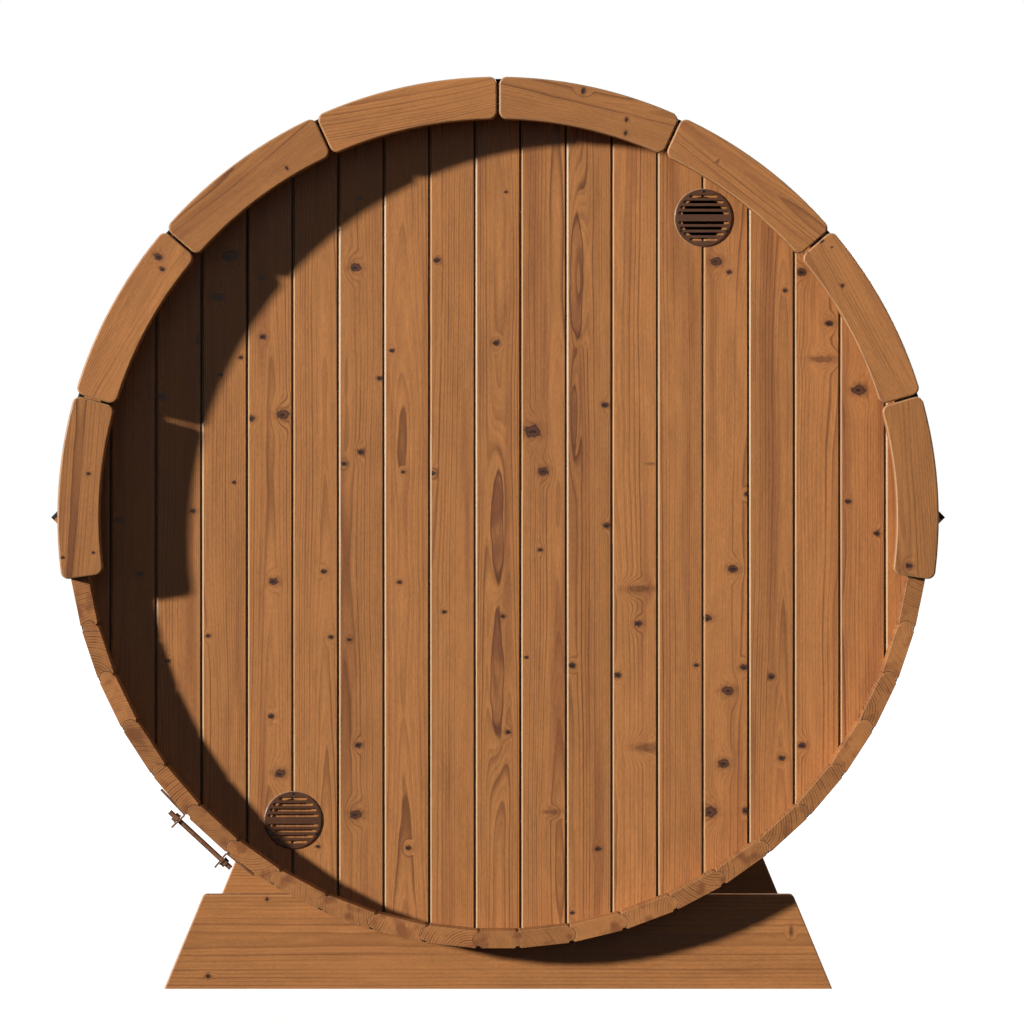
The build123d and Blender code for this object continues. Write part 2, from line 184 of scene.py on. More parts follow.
def blendColour(tree, factor, first, second, mode="MIX"):
    node = addNode(tree, "ShaderNodeMix", data_type="RGBA", blend_type=mode, clamp_factor=True)
    for socket, value in ((node.inputs[0], factor), (node.inputs[6], first), (node.inputs[7], second)):
        link(tree, value, socket)
    return node.outputs[2]


def brighten(tree, base, level):
    grey = addNode(tree, "ShaderNodeCombineColor")
    for channel in grey.inputs:
        link(tree, level, channel)
    return blendColour(tree, 1.0, base, grey.outputs[0], "MULTIPLY")


def wiredNode(tree, kind, **inputs):  # "_" stands for a space in an input's name
    node = addNode(tree, kind)
    for name, value in inputs.items():
        link(tree, value, node.inputs[name.replace("_", " ")])
    return node


def addBump(tree, shader, height, strength, distance):
    bump = wiredNode(tree, "ShaderNodeBump", Strength=strength, Distance=distance, Height=height)
    link(tree, bump.outputs[0], shader.inputs["Normal"])


def newMaterial(name):
    material = bpy.data.materials.new(name)
    material.use_nodes = True
    tree = material.node_tree
    shader = next(node for node in tree.nodes if node.type == "BSDF_PRINCIPLED")
    return material, tree, shader


def lookAtRays(tree):  # 1 for rays that should see the white studio
    rays = addNode(tree, "ShaderNodeLightPath")
    seen = math2(tree, "MAXIMUM", rays.outputs["Is Camera Ray"], rays.outputs["Is Glossy Ray"])
    return math2(tree, "MAXIMUM", seen, rays.outputs["Is Transmission Ray"])


world = bpy.data.worlds.new("studio")
world.use_nodes = True
scene.world = world
skyTree = world.node_tree
skyTree.nodes.clear()
fillColour = colour(*studio["fillColour"])
skyFill = wiredNode(skyTree, "ShaderNodeBackground", Strength=studio["fill"], Color=fillColour)
skyWhite = wiredNode(skyTree, "ShaderNodeBackground", Color=(1, 1, 1, 1))
skyMix = addNode(skyTree, "ShaderNodeMixShader")
skyOut = addNode(skyTree, "ShaderNodeOutputWorld")
link(skyTree, lookAtRays(skyTree), skyMix.inputs[0])
link(skyTree, skyFill.outputs[0], skyMix.inputs[1])
link(skyTree, skyWhite.outputs[0], skyMix.inputs[2])
link(skyTree, skyMix.outputs[0], skyOut.inputs[0])

floorMesh = bpy.data.meshes.new("floor")
half = studio["floorSize"]
floorCorners = [(-half, -half, 0), (half, -half, 0), (half, half, 0), (-half, half, 0)]
floorMesh.from_pydata(floorCorners, [], [(0, 1, 2, 3)])
floorPiece = bpy.data.objects.new("floor", floorMesh)
scene.collection.objects.link(floorPiece)
floorPaint, floorTree, floorShader = newMaterial("paleFloor")
floorShader.inputs["Roughness"].default_value = 0.9
floorShader.inputs["Specular IOR Level"].default_value = 0.0
floorShader.inputs["Emission Color"].default_value = (1, 1, 1, 1)
floorRays = addNode(floorTree, "ShaderNodeLightPath")
floorSeen = floorRays.outputs["Is Camera Ray"]
floorPaints = colour(*studio["floorBounce"]), colour(*studio["floorColour"])
floorLook = blendColour(floorTree, floorSeen, *floorPaints)
link(floorTree, floorLook, floorShader.inputs["Base Color"])
floorGlow = times(floorTree, floorSeen, studio["floorGlow"])
link(floorTree, floorGlow, floorShader.inputs["Emission Strength"])
floorMesh.materials.append(floorPaint)
print("studio ready")


# ---- shader groups
def newGroup(name, inputs, outputs, kind="ShaderNodeTree"):  # "Name:Kind", or a number without a kind
    group = bpy.data.node_groups.new(name, kind)
    for way, labels in (("INPUT", inputs), ("OUTPUT", outputs)):
        for label in labels:
            label, _, sort = label.partition(":")
            group.interface.new_socket(name=label, in_out=way, socket_type="NodeSocket" + (sort or "Float"))
    entry = group.nodes.new("NodeGroupInput")
    leave = group.nodes.new("NodeGroupOutput")
    return group, entry.outputs, leave.inputs


def fillOutputs(group, made, results):  # in the order of the outputs
    for result, socket in zip(results, made):
        link(group, result, socket)


plankSpacing = 10.0  # along z in the grain attribute, so that no two planks are alike
grainNoise = {  # scale across the grain, scale along it, detail, roughness
    "slow": (7.0, 1.7, 1.5, 0.4),
    "quick": (45.0, 9.0, 1.0, 0.4),
    "fade": (20.0, 2.0, 2.0, 0.5),
    "fibre": (900.0, 14.0, 3.0, 0.65),
    "streak": (26.0, 1.1, 2.0, 0.5),
    "cloud": (48.0, 9.0, 3.0, 0.6),
    "fleck": (330.0, 95.0, 2.0, 0.6),
}
ringShape = {
    "quickWander": 1.6 * mm,
    "widestAt": 0.93,  # of the way through a year's growth, where the latewood line is darkest
    "fineRings": 2.7,  # fine lines for each coarse one
    "fineStrength": 0.45,
}


# Growth rings, fibres and streaks of a plank. Position is measured from the pith, z along the grain.
def makeRingGroup():
    group, given, made = newGroup(
        "growthRings",
        ("Position:Vector", "Pull", "Swell", "Ring Gap", "Wander", "Plain Planks"),
        ("Rings", "Fibre", "Streak", "Mottle", "Height"),
    )
    across, depth, along = splitVector(group, given["Position"])
    across = minus(group, across, given["Pull"])

    def stretched(name):
        acrossScale, alongScale, detail, roughness = grainNoise[name]
        sides = [times(group, side, acrossScale) for side in (across, depth)]
        place = vectorFrom(group, *sides, times(group, along, alongScale))
        return noiseAt(group, place, 1.0, detail, roughness)

    radius = hypotenuse(group, across, depth)
    slow = minus(group, stretched("slow"), 0.5)
    quick = minus(group, stretched("quick"), 0.5)
    bend = plus(group, times(group, slow, given["Wander"]), times(group, quick, ringShape["quickWander"]))
    bend = plus(group, bend, given["Swell"])
    turns = over(group, plus(group, radius, bend), given["Ring Gap"])

    def latewood(count, start, strength):
        widest = ringShape["widestAt"]
        phase = math2(group, "FRACT", count)
        rise = spread(group, phase, start, widest)
        drop = spread(group, phase, widest, 1.0, 1.0, 0.0)
        year = addNode(group, "ShaderNodeTexWhiteNoise", noise_dimensions="1D")
        link(group, math2(group, "FLOOR", count), year.inputs["W"])
        weight = spread(group, year.outputs["Value"], 0.0, 1.0, 0.3, 1.0, smooth=False)
        return times(group, times(group, times(group, rise, drop), weight), strength)

    coarse = latewood(turns, 0.45, 1.0)
    fine = latewood(times(group, turns, ringShape["fineRings"]), 0.2, ringShape["fineStrength"])
    rings = math2(group, "MAXIMUM", coarse, fine)
    rings = times(group, rings, spread(group, stretched("fade"), 0.3, 0.62, 0.35, 1.0))
    plank = addNode(group, "ShaderNodeTexWhiteNoise", noise_dimensions="1D")
    number = times(group, plus(group, along, plankSpacing / 2), 1 / plankSpacing)
    link(group, math2(group, "FLOOR", number), plank.inputs["W"])
    plain = times(group, plank.outputs["Value"], given["Plain Planks"])
    rings = times(group, rings, minus(group, 1.0, plain))
    fibre = stretched("fibre")
    mottle = plus(group, times(group, stretched("cloud"), 0.5), times(group, stretched("fleck"), 0.5))
    height = plus(group, times(group, coarse, 0.6), times(group, fibre, 0.5))
    fillOutputs(group, made, (rings, fibre, stretched("streak"), mottle, height))
    return group


# A knot. Offset holds the distance across, the distance along and the radius, negative for a faint knot.
def makeKnotGroup():
    group, given, made = newGroup(
        "knotMarks", ("Offset:Vector", "Position:Vector"), ("Core", "Rim", "Eye", "Halo", "Pull", "Swell")
    )
    across, along, signedRadius = splitVector(group, given["Offset"])
    radius = math2(group, "ABSOLUTE", signedRadius)
    sound = math2(group, "GREATER_THAN", signedRadius, 0.0)
    wider = spread(group, sound, 0.0, 1.0, 0.65, 1.0, smooth=False)  # a faint knot lies across the board
    sideways = times(group, over(group, across, radius), wider)
    lengthways = over(group, over(group, along, radius), wider)
    own = splitVector(group, given["Position"])
    place = vectorFrom(group, sideways, lengthways, times(group, own[2], 3.0))
    rough = minus(group, noiseAt(group, place, 1.3, 2.5), 0.5)

    def ellipse(wide, tall, shift=0.0):
        return hypotenuse(
            group, over(group, plus(group, sideways, shift), wide),
            over(group, plus(group, lengthways, shift * 0.6), tall),
        )

    reach = plus(group, ellipse(1.05, 0.78), times(group, rough, 1.1))
    core = spread(group, reach, 0.8, 1.15, 1.0, 0.0)
    rim = times(group, spread(group, reach, 0.6, 0.9), spread(group, reach, 0.95, 1.25, 1.0, 0.0))
    faint = spread(group, sound, 0.0, 1.0, 0.3, 1.0)
    closed = spread(group, radius, 6.0 * mm, 14.0 * mm, 0.95, 0.55)  # a small knot is dark all over
    inner = plus(group, ellipse(1.0, 0.55, 0.12), times(group, rough, 1.1))
    eye = spread(group, over(group, inner, closed), 0.55, 1.1, 1.0, 0.0)
    halo = spread(group, plus(group, ellipse(2.8, 2.0), rough), 0.2, 1.0, 1.0, 0.0)
    fall = spread(group, ellipse(3.2, 6.0), 0.0, 1.0, 1.0, 0.0)  # the rings part round the knot
    hump = spread(group, ellipse(3.0, 4.2), 0.0, 1.0, 1.0, 0.0)
    pull = times(group, times(group, across, fall), 0.9)
    swell = times(group, times(group, radius, hump), 0.9)
    shown = [times(group, part, level) for part, level in ((core, faint), (rim, faint), (eye, sound))]
    fillOutputs(group, made, (*shown, halo, pull, swell))
    return group


# A long dark eye of heartwood. Offset holds the distance across, the distance along and its half width.
def makeHeartGroup():
    inputs = ("Offset:Vector", "Position:Vector")
    group, given, made = newGroup("heartEye", inputs, ("Fill", "Outline", "Swell"))
    across, along, halfWidth = splitVector(group, given["Offset"])
    ragged = noiseAt(group, scaledVector(group, given["Position"], (26.0, 26.0, 9.0)), 1.0, 2.0)
    patches = noiseAt(group, scaledVector(group, given["Position"], (9.0, 9.0, 8.0)), 1.0, 1.0)
    size = hypotenuse(group, over(group, across, halfWidth), over(group, over(group, along, halfWidth), 10.0))
    reach = plus(group, size, times(group, minus(group, ragged, 0.5), 1.1))
    depth = spread(group, patches, 0.38, 0.6, 0.3, 1.0)
    edge = times(group, spread(group, reach, 0.78, 0.95), spread(group, reach, 0.96, 1.08, 1.0, 0.0))
    hump = spread(group, size, 0.0, 2.6, 1.0, 0.0)
    fill = times(group, spread(group, reach, 0.86, 0.98, 1.0, 0.0), depth)
    fillOutputs(group, made, (fill, edge, times(group, times(group, halfWidth, hump), 1.1)))
    return group


# Small blotches and specks for felt, plastic and steel
def makeSpeckGroup():
    inputs = ("Position:Vector", "Grain Scale", "Blotch Scale")
    group, given, made = newGroup("specks", inputs, ("Grains", "Blotches"))
    grains = noiseAt(group, given["Position"], given["Grain Scale"], 2.0)
    blotches = noiseAt(group, given["Position"], given["Blotch Scale"], 4.0)
    fillOutputs(group, made, (grains, blotches))
    return group


ringGroup = makeRingGroup()
knotGroup = makeKnotGroup()
heartGroup = makeHeartGroup()
speckGroup = makeSpeckGroup()


def placeGroup(tree, group, **values):
    node = addNode(tree, "ShaderNodeGroup", node_tree=group)
    for name, value in values.items():
        link(tree, value, node.inputs[name.replace("_", " ")])
    return node.outputs


# ---- wood
wood = {
    "light": (179, 118, 66),
    "dark": (84, 44, 24),
    "streak": (128, 75, 42),
    "heart": (112, 64, 39),
    "knot": (82, 45, 27),
    "knotRim": (50, 27, 17),
    "knotEye": (22, 12, 9),
    # the next two colours are painted light: a painted highlight on rounded edges and on facets turned to the
    # key sun, and a painted shade on facets turned away from it
    "arris": (180, 146, 106),
    "joint": (62, 42, 32),
    "roughness": 0.4,
    "specular": 0.36,
    "bump": 0.3,
    "bumpDepth": 0.4 * mm,
    "darkestPlank": 0.86,
    "palestPlank": 1.12,
    "mottle": (0.8, 1.2),
}


def woodMaterial(name, ringGap=4.2, wander=16.0, tint=1.0, contrast=1.0, plain=0.15):
    material, tree, shader = newMaterial(name)
    grain = readAttribute(tree, "grain", "Vector")
    knots = []
    for label in ("knotA", "knotB"):
        knots.append(placeGroup(tree, knotGroup, Offset=readAttribute(tree, label, "Vector"), Position=grain))
    heart = placeGroup(tree, heartGroup, Offset=readAttribute(tree, "heart", "Vector"), Position=grain)
    pull = plus(tree, knots[0]["Pull"], knots[1]["Pull"])
    swell = plus(tree, plus(tree, knots[0]["Swell"], knots[1]["Swell"]), heart["Swell"])
    rings = placeGroup(
        tree, ringGroup, Position=grain, Pull=pull, Swell=swell,
        Ring_Gap=ringGap * mm, Wander=wander * mm, Plain_Planks=plain,
    )
    core, rim, pupil, halo = [
        math2(tree, "MAXIMUM", knots[0][part], knots[1][part]) for part in ("Core", "Rim", "Eye", "Halo")
    ]
    marks = (  # each laid over the ones before it
        (times(tree, rings["Rings"], 0.95 * contrast, clamp=True), "dark"),
        (spread(tree, rings["Streak"], 0.52, 0.72, 0.0, 0.55 * contrast), "streak"),
        (spread(tree, rings["Fibre"], 0.35, 0.75, 0.0, 0.22 * contrast), "dark"),
        (times(tree, heart["Fill"], 0.85), "heart"),
        (times(tree, heart["Outline"], 0.85), "dark"),
        (times(tree, halo, 0.45), "dark"),
        (times(tree, core, 0.9), "knot"),
        (times(tree, rim, 0.75), "knotRim"),
        (times(tree, pupil, 0.92), "knotEye"),
    )
    base = colour(*wood["light"])
    for mask, paint in marks:
        base = blendColour(tree, mask, base, colour(*wood[paint]))
    darkest, palest = wood["darkestPlank"] * tint, wood["palestPlank"] * tint
    level = spread(tree, readAttribute(tree, "tone"), -1.0, 1.0, darkest, palest, smooth=False)
    level = times(tree, level, spread(tree, rings["Mottle"], 0.3, 0.7, *wood["mottle"], smooth=False))
    base = brighten(tree, base, level)
    # painted highlight where the arris attribute is positive, painted shade where it is -1
    edge = readAttribute(tree, "arris")
    for side, amount, paint in ((1.0, 0.8, "arris"), (-1.0, 0.95, "joint")):
        mask = spread(tree, edge, 0.0, side, 0.0, amount, smooth=False)
        base = blendColour(tree, mask, base, colour(*wood[paint]))
    link(tree, base, shader.inputs["Base Color"])
    shader.inputs["Specular IOR Level"].default_value = wood["specular"]
    dull, shiny = wood["roughness"] + 0.05, wood["roughness"] - 0.06
    link(tree, spread(tree, rings["Rings"], 0.0, 1.0, dull, shiny, smooth=False), shader.inputs["Roughness"])
    addBump(tree, shader, rings["Height"], wood["bump"], wood["bumpDepth"])
    return material


wallWood = woodMaterial("wallWood")
fasciaWood = woodMaterial("fasciaWood", ringGap=3.6, wander=14.0, tint=0.95, contrast=0.9)
staveWood = woodMaterial("staveWood", ringGap=6.2, wander=15.0, tint=0.96, contrast=1.6, plain=0.8)
cradleWood = woodMaterial("cradleWood", ringGap=7.0, wander=9.0, tint=0.97, contrast=0.65)
doorWood = woodMaterial("doorWood", ringGap=4.0, wander=14.0)


def speckMaterial(name, settings):
    material, tree, shader = newMaterial(name)
    specks = placeGroup(
        tree, speckGroup, Position=addNode(tree, "ShaderNodeTexCoord").outputs["Object"],
        Grain_Scale=settings["grainScale"], Blotch_Scale=settings["blotchScale"],
    )
    grains = spread(tree, specks["Grains"], 0.35, 0.7)
    base = blendColour(tree, grains, colour(*settings["dark"]), colour(*settings["light"]))
    worn = spread(tree, specks["Blotches"], 0.45, 0.7, 0.0, settings["blotchMix"])
    base = blendColour(tree, worn, base, colour(*settings["blotch"]))
    if "edge" in settings:
        # painted highlight colour on the faces the arris attribute marks
        base = blendColour(tree, readAttribute(tree, "arris"), base, colour(*settings["edge"]))
    if "toneMix" in settings:
        lowest, highest = 1.0 - settings["toneMix"], 1.0 + settings["toneMix"]
        level = spread(tree, readAttribute(tree, "tone"), -1.0, 1.0, lowest, highest, smooth=False)
        base = brighten(tree, base, level)
    link(tree, base, shader.inputs["Base Color"])
    shiny, dull = settings["roughness"] - 0.06, settings["roughness"] + 0.06
    link(tree, spread(tree, specks["Grains"], 0.3, 0.7, shiny, dull), shader.inputs["Roughness"])
    shader.inputs["Metallic"].default_value = settings["metallic"]
    shader.inputs["Specular IOR Level"].default_value = settings["specular"]
    addBump(tree, shader, specks["Grains"], settings["bump"], settings["bumpDepth"] * mm)
    return material


ventPlastic = speckMaterial(
    "ventPlastic",
    {
        "light": (90, 57, 38), "dark": (76, 47, 31), "blotch": (98, 63, 43), "blotchMix": 0.4,
        "grainScale": 900.0, "blotchScale": 25.0, "roughness": 0.28, "metallic": 0.0,
        # edge is the painted highlight colour for the covers' rims
        "specular": 0.25, "bump": 0.15, "bumpDepth": 0.2, "edge": (205, 176, 142),
    },
)
roofFelt = speckMaterial(
    "roofFelt",
    {
        "light": (66, 61, 58), "dark": (30, 27, 26), "blotch": (50, 45, 42), "blotchMix": 0.6,
        "grainScale": 420.0, "blotchScale": 9.0, "roughness": 0.9, "metallic": 0.0,
        "specular": 0.2, "bump": 0.8, "bumpDepth": 1.2, "toneMix": 0.3,
    },
)
bandSteel = speckMaterial(
    "bandSteel",
    {
        "light": (104, 90, 78), "dark": (80, 69, 60), "blotch": (70, 58, 49), "blotchMix": 0.5,
        "grainScale": 600.0, "blotchScale": 30.0, "roughness": 0.45, "metallic": 0.5,
        "specular": 0.3, "bump": 0.1, "bumpDepth": 0.1,
    },
)
tensionSteel = speckMaterial(
    "tensionSteel",
    {
        "light": (158, 114, 82), "dark": (108, 74, 53), "blotch": (76, 51, 37), "blotchMix": 0.5,
        "grainScale": 500.0, "blotchScale": 60.0, "roughness": 0.36, "metallic": 0.35,
        "specular": 0.5, "bump": 0.15, "bumpDepth": 0.15,
    },
)
hingeSteel = speckMaterial(
    "hingeSteel",
    {
        "light": (46, 42, 39), "dark": (30, 27, 26), "blotch": (62, 56, 52), "blotchMix": 0.3,
        "grainScale": 700.0, "blotchScale": 60.0, "roughness": 0.45, "metallic": 0.3,
        "specular": 0.5, "bump": 0.2, "bumpDepth": 0.15,
    },
)
print("materials ready")


# ---- planks
axisHeight = (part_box("keel_stave")[0].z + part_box("crown_stave")[1].z) / 2
boardWidth = 105.5 * mm
staveEnd = 1.15
weld = 0.01 * mm  # points nearer than this are one
noKnot = (9.0, 9.0, 0.01)
attributeNames = (
    ("grain", "float_vector"), ("knotA", "float_vector"), ("knotB", "float_vector"),
    # arris holds painted highlight (positive) and painted shade (-1) for the edges
    ("heart", "float_vector"), ("tone", "float"), ("arris", "float"),
)
plankCount = 0


def mergedCopy(node):
    mesh = bmesh.new()
    mesh.from_mesh(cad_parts[node].data)
    bmesh.ops.remove_doubles(mesh, verts=mesh.verts[:], dist=weld)
    for face in mesh.faces:
        face.smooth = True
    return mesh


def flatten(mesh):  # joins the triangles of each flat face
    bmesh.ops.dissolve_limit(mesh, angle_limit=math.radians(0.2), verts=mesh.verts[:], edges=mesh.edges[:])


def looseParts(mesh):  # each loose part as a mesh of its own, always in the same order
    mesh.verts.index_update()
    mesh.verts.ensure_lookup_table()
    parts = []
    seen = set()
    for start in range(len(mesh.verts)):
        if start in seen:
            continue
        island = {start}
        front = [start]
        while front:
            for edge in mesh.verts[front.pop()].link_edges:
                for vert in edge.verts:
                    if vert.index not in island:
                        island.add(vert.index)
                        front.append(vert.index)
        seen |= island
        part = mesh.copy()
        part.verts.ensure_lookup_table()
        others = [vert for count, vert in enumerate(part.verts) if count not in island]
        bmesh.ops.delete(part, geom=others, context="VERTS")
        parts.append(part)
    return parts


def boxOf(mesh):
    low, high = [
        Vector([pick(vert.co[axis] for vert in mesh.verts) for axis in range(3)]) for pick in (min, max)
    ]
    return low, high


def plankFrame(across, front, along, origin):
    place = Matrix((across, front, along)).transposed().to_4x4()
    place.translation = origin
    return place


def roundEdges(mesh, offset, segments, wanted=None, least=28.0):
    edges = []
    for edge in mesh.edges:
        if len(edge.link_faces) == 2 and edge.calc_face_angle(0.0) > math.radians(least):
            if wanted is None or wanted(edge):
                edges.append(edge)
    bmesh.ops.bevel(
        mesh, geom=edges, offset=offset, offset_type="OFFSET", segments=segments, profile=0.5,
        affect="EDGES", clamp_overlap=True, harden_normals=False,
    )


def cutAcross(mesh, point, normal, clearOuter=False, clearInner=False):
    geometry = mesh.verts[:] + mesh.edges[:] + mesh.faces[:]
    bmesh.ops.bisect_plane(
        mesh, geom=geometry, dist=weld / 10, plane_co=point, plane_no=normal,
        clear_outer=clearOuter, clear_inner=clearInner,
    )


def capHoles(mesh):
    rims = [edge for edge in mesh.edges if edge.is_boundary]
    if rims:
        bmesh.ops.holes_fill(mesh, edges=rims, sides=0)
    bmesh.ops.recalc_face_normals(mesh, faces=mesh.faces[:])


# place: the plank's own frame, x across its face, y out of it and z along the grain.
# pith: distance behind the face, shift across, lean of the pith across and in depth.
def markPlank(mesh, place, pith, tone, knots=(), hearts=(), edgeLightAndShade=None):
    global plankCount
    plankCount += 1
    toPlank = place.inverted()
    behind, shift, lean, dive = pith
    lists = [sorted(spots, key=lambda spot: spot[1]) for spots in (knots[0::2], knots[1::2], hearts)]
    along = place.to_3x3() @ Vector((0, 0, 1))
    for spots in lists:
        for lower, upper in zip(spots, spots[1:]):
            cutAcross(mesh, place @ Vector((0, 0, (lower[1] + upper[1]) / 2)), along)
    layers = [getattr(mesh.loops.layers, kind).new(name) for name, kind in attributeNames]
    for face in mesh.faces:
        middle = toPlank @ face.calc_center_median()
        chosen = [min(spots, key=lambda knot: abs(knot[1] - middle.z)) if spots else None for spots in lists]
        for loop in face.loops:
            spot = toPlank @ loop.vert.co
            loop[layers[0]] = (
                spot.x - shift - lean * spot.z,
                spot.y + behind + dive * spot.z,
                spot.z + plankSpacing * plankCount,
            )
            for layer, knot in zip(layers[1:4], chosen):
                loop[layer] = noKnot if knot is None else (spot.x - knot[0], spot.z - knot[1], knot[2])
            loop[layers[4]] = tone
            # painted highlight and painted shade of the edges go into the arris layer
            loop[layers[5]] = edgeLightAndShade(face) if edgeLightAndShade else 0.0
    return mesh


def finishPiece(name, meshes, material, replaced, sharp=34.0):
    whole = bmesh.new()
    for label, kind in attributeNames:
        getattr(whole.loops.layers, kind).new(label)
    for mesh in meshes:
        part = bpy.data.meshes.new("part")
        mesh.to_mesh(part)
        mesh.free()
        whole.from_mesh(part)
        bpy.data.meshes.remove(part)
    data = bpy.data.meshes.new(name)
    whole.to_mesh(data)
    whole.free()
    return finishMesh(name, data, material, replaced, sharp)


def finishMesh(name, data, material, replaced=(), sharp=34.0):
    data.materials.clear()
    data.materials.append(material)
    data.shade_smooth()
    data.set_sharp_from_angle(angle=math.radians(sharp))
    piece = bpy.data.objects.new(name, data)
    scene.collection.objects.link(piece)
    even = piece.modifiers.new("evenNormals", "WEIGHTED_NORMAL")
    even.keep_sharp = True
    even.weight = 80
    bakeModifiers(piece)
    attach(piece, "root")
    if replaced:
        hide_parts(*replaced)
    return piece


def bakeModifiers(piece):
    bpy.context.view_layer.update()
    depsgraph = bpy.context.evaluated_depsgraph_get()
    fresh = bpy.data.meshes.new_from_object(
        piece.evaluated_get(depsgraph), preserve_all_data_layers=True, depsgraph=depsgraph
    )
    old = piece.data
    piece.modifiers.clear()
    piece.data = fresh
    bpy.data.meshes.remove(old)
    fresh.name = piece.name


def edgeHighlightFaces(amount, facing=0):  # how much paler the rounded edges of an end face are painted, a painted highlight
    def measure(side):
        lean = abs(side.normal.y) if facing == 0 else side.normal.y * facing
        return amount if 0.2 < lean < 0.97 else 0.0

    return measure


def randomPith(chance, near=0.03, far=0.11, sideways=0.05):
    return (
        chance.uniform(near, far), chance.uniform(-sideways, sideways),
        chance.uniform(-0.006, 0.006), chance.uniform(-0.012, 0.012),
    )


def randomKnots(chance, low, high, width, settings):
    knots = []
    level = low + chance.uniform(0.2, 1.0) * settings["knotSpacing"]
    while level < high:
        knots.append((chance.uniform(-0.42, 0.42) * width, level, chance.uniform(*settings["knotRadius"])))
        level += chance.uniform(0.45, 1.7) * settings["knotSpacing"]
    return knots


# ---- end walls
endWall = {
    "boardsEachSide": 9,
    "jointGap": 0.7 * mm,
    "arris": 0.9 * mm,
    "arrisSegments": 2,
    "arrisDepth": 5.5 * mm,  # how far behind the face edges are still rounded
    "easedDepth": 2.4 * mm,  # of the flatter facet on the left edge of a board
    "knotSpacing": 0.3,
    "knotRadius": (5 * mm, 11 * mm),
}
boardKnots = {  # per board from the middle: across, height above the axis, radius (negative if faint), mm
    -8: ((15, -131, 8.4), (-36, -6, 6.3)),
    -7: ((-25, -332, 5.2), (32, 15, 6.3), (-40, 279, 9.5), (47, 408, 8.4)),
    -6: ((-38, -274, 5.2), (22, 81, 4.2), (-9, 330, 5.8), (38, 370, 4.8), (-16, 510, 11.2), (9, 605, 15.8)),
    -5: (
        (23, -593, 11.6), (2, -460, 7), (8, -148, 9.5), (-45, 229, 8.4), (30, 238, 12.6),
        (-17, 418, 6.9), (-20, 555, 6.3),
    ),
    -4: ((5, -762, 4.8), (35, -277, 5.8), (18, -125, 6.3)),
    -3: (
        (-13, -687, 12.1), (-7, -527, 7.4), (-28, -283, 4.7), (-40, 124, 6.3), (-1, 151, 7.4),
        (42, 322, 5.8), (-14, 579, 11.6), (-5, 739, 6.3),
    ),
    -2: ((3, -765, 6.3), (-17, -150, 5.2), (-9, 105, 4.2), (-35, 386, 5.2)),
    -1: ((-19, -219, 5.2), (-46, 102, 6.3), (-36, 595, 6.8)),
    0: ((23, -497, 5.8), (11, -229, 5.2), (-4, 404, 7.4), (18, 753, 3.7)),
    1: ((17, -682, -8.4), (-40, -324, 4.2), (-8, -75, 5.2), (0, 106, 10.5), (-25, 199, 16.8)),
    2: ((-40, -915, 5.2), (20, -767, 6.8), (-40, -343, 7.9), (41, -19, 7.4), (36, 260, 7.4)),
    3: ((30, -533, -14), (-40, -365, 8.4), (8, -246, 8.4), (8, -166, -13), (35, 124, -5)),
    4: ((37, -342, 5.2),),
    5: (
        (-37, -682, 13.7), (46, -679, 7.4), (-5, -570, 11.6), (5, -401, 12.6), (42, -347, 8.4),
        (-43, -233, 9.5), (16, -119, 10.5), (49, 54, 6.3), (7, 568, 5.8), (-23, 593, 11.6),
    ),
    6: ((23, -557, 7.4), (0, -369, 6.3), (31, 525, 4.7)),
    7: ((-35, -528, 8.4), (13, 366, -13), (28, 449, 8.4), (-36, 568, 10.5)),
    8: ((33, -37, 6.8), (-34, 37, 6.3), (-10, 295, 13.7)),
}
boardHearts = {  # across, height above the axis and half width in mm
    0: ((-1, -372, 15), (-1, -20, 14)),
    2: ((-35, 225, 8), (-30, 560, 15)),
}
boardPiths = {  # behind the face, sideways, lean and dive of the pith, and the board's tone
    -9: (60, 30, 0.002, 0.004, -0.3),
    -8: (70, -50, 0.003, -0.006, -0.2),
    -7: (55, -60, 0.004, 0.005, 0.1),
    -6: (80, -70, -0.002, 0.004, 0.1),
    -5: (42, 0, 0.002, 0.010, 0.3),
    -4: (48, 20, -0.003, 0.012, 0.15),
    -3: (60, -34, 0.002, 0.004, -0.35),
    -2: (85, -10, -0.003, 0.006, 0.35),
    -1: (55, -52, 0.003, -0.006, 0.0),
    0: (46, 2, 0.001, 0.007, -0.1),
    1: (50, 34, -0.003, 0.008, 0.05),
    2: (62, -46, 0.002, 0.005, -0.35),
    3: (140, -60, 0.001, 0.003, 0.5),
    4: (60, -70, 0.002, 0.004, -0.1),
    5: (75, 55, -0.003, 0.008, 0.3),
    6: (52, 24, 0.002, 0.009, -0.4),
    7: (150, 70, 0.001, 0.003, 0.4),
    8: (80, -60, -0.004, 0.005, 0.1),
    9: (60, 40, 0.002, 0.004, 0.0),
}


def boardFrame(middle, face, facing):  # facing -1 is the near end
    return Matrix(((-facing, 0, 0, middle), (0, facing, 0, face), (0, 0, 1, axisHeight), (0, 0, 0, 1)))


def faceOf(node, facing):  # where the node's outer face stands along y
    low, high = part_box(node)
    return low.y if facing < 0 else high.y


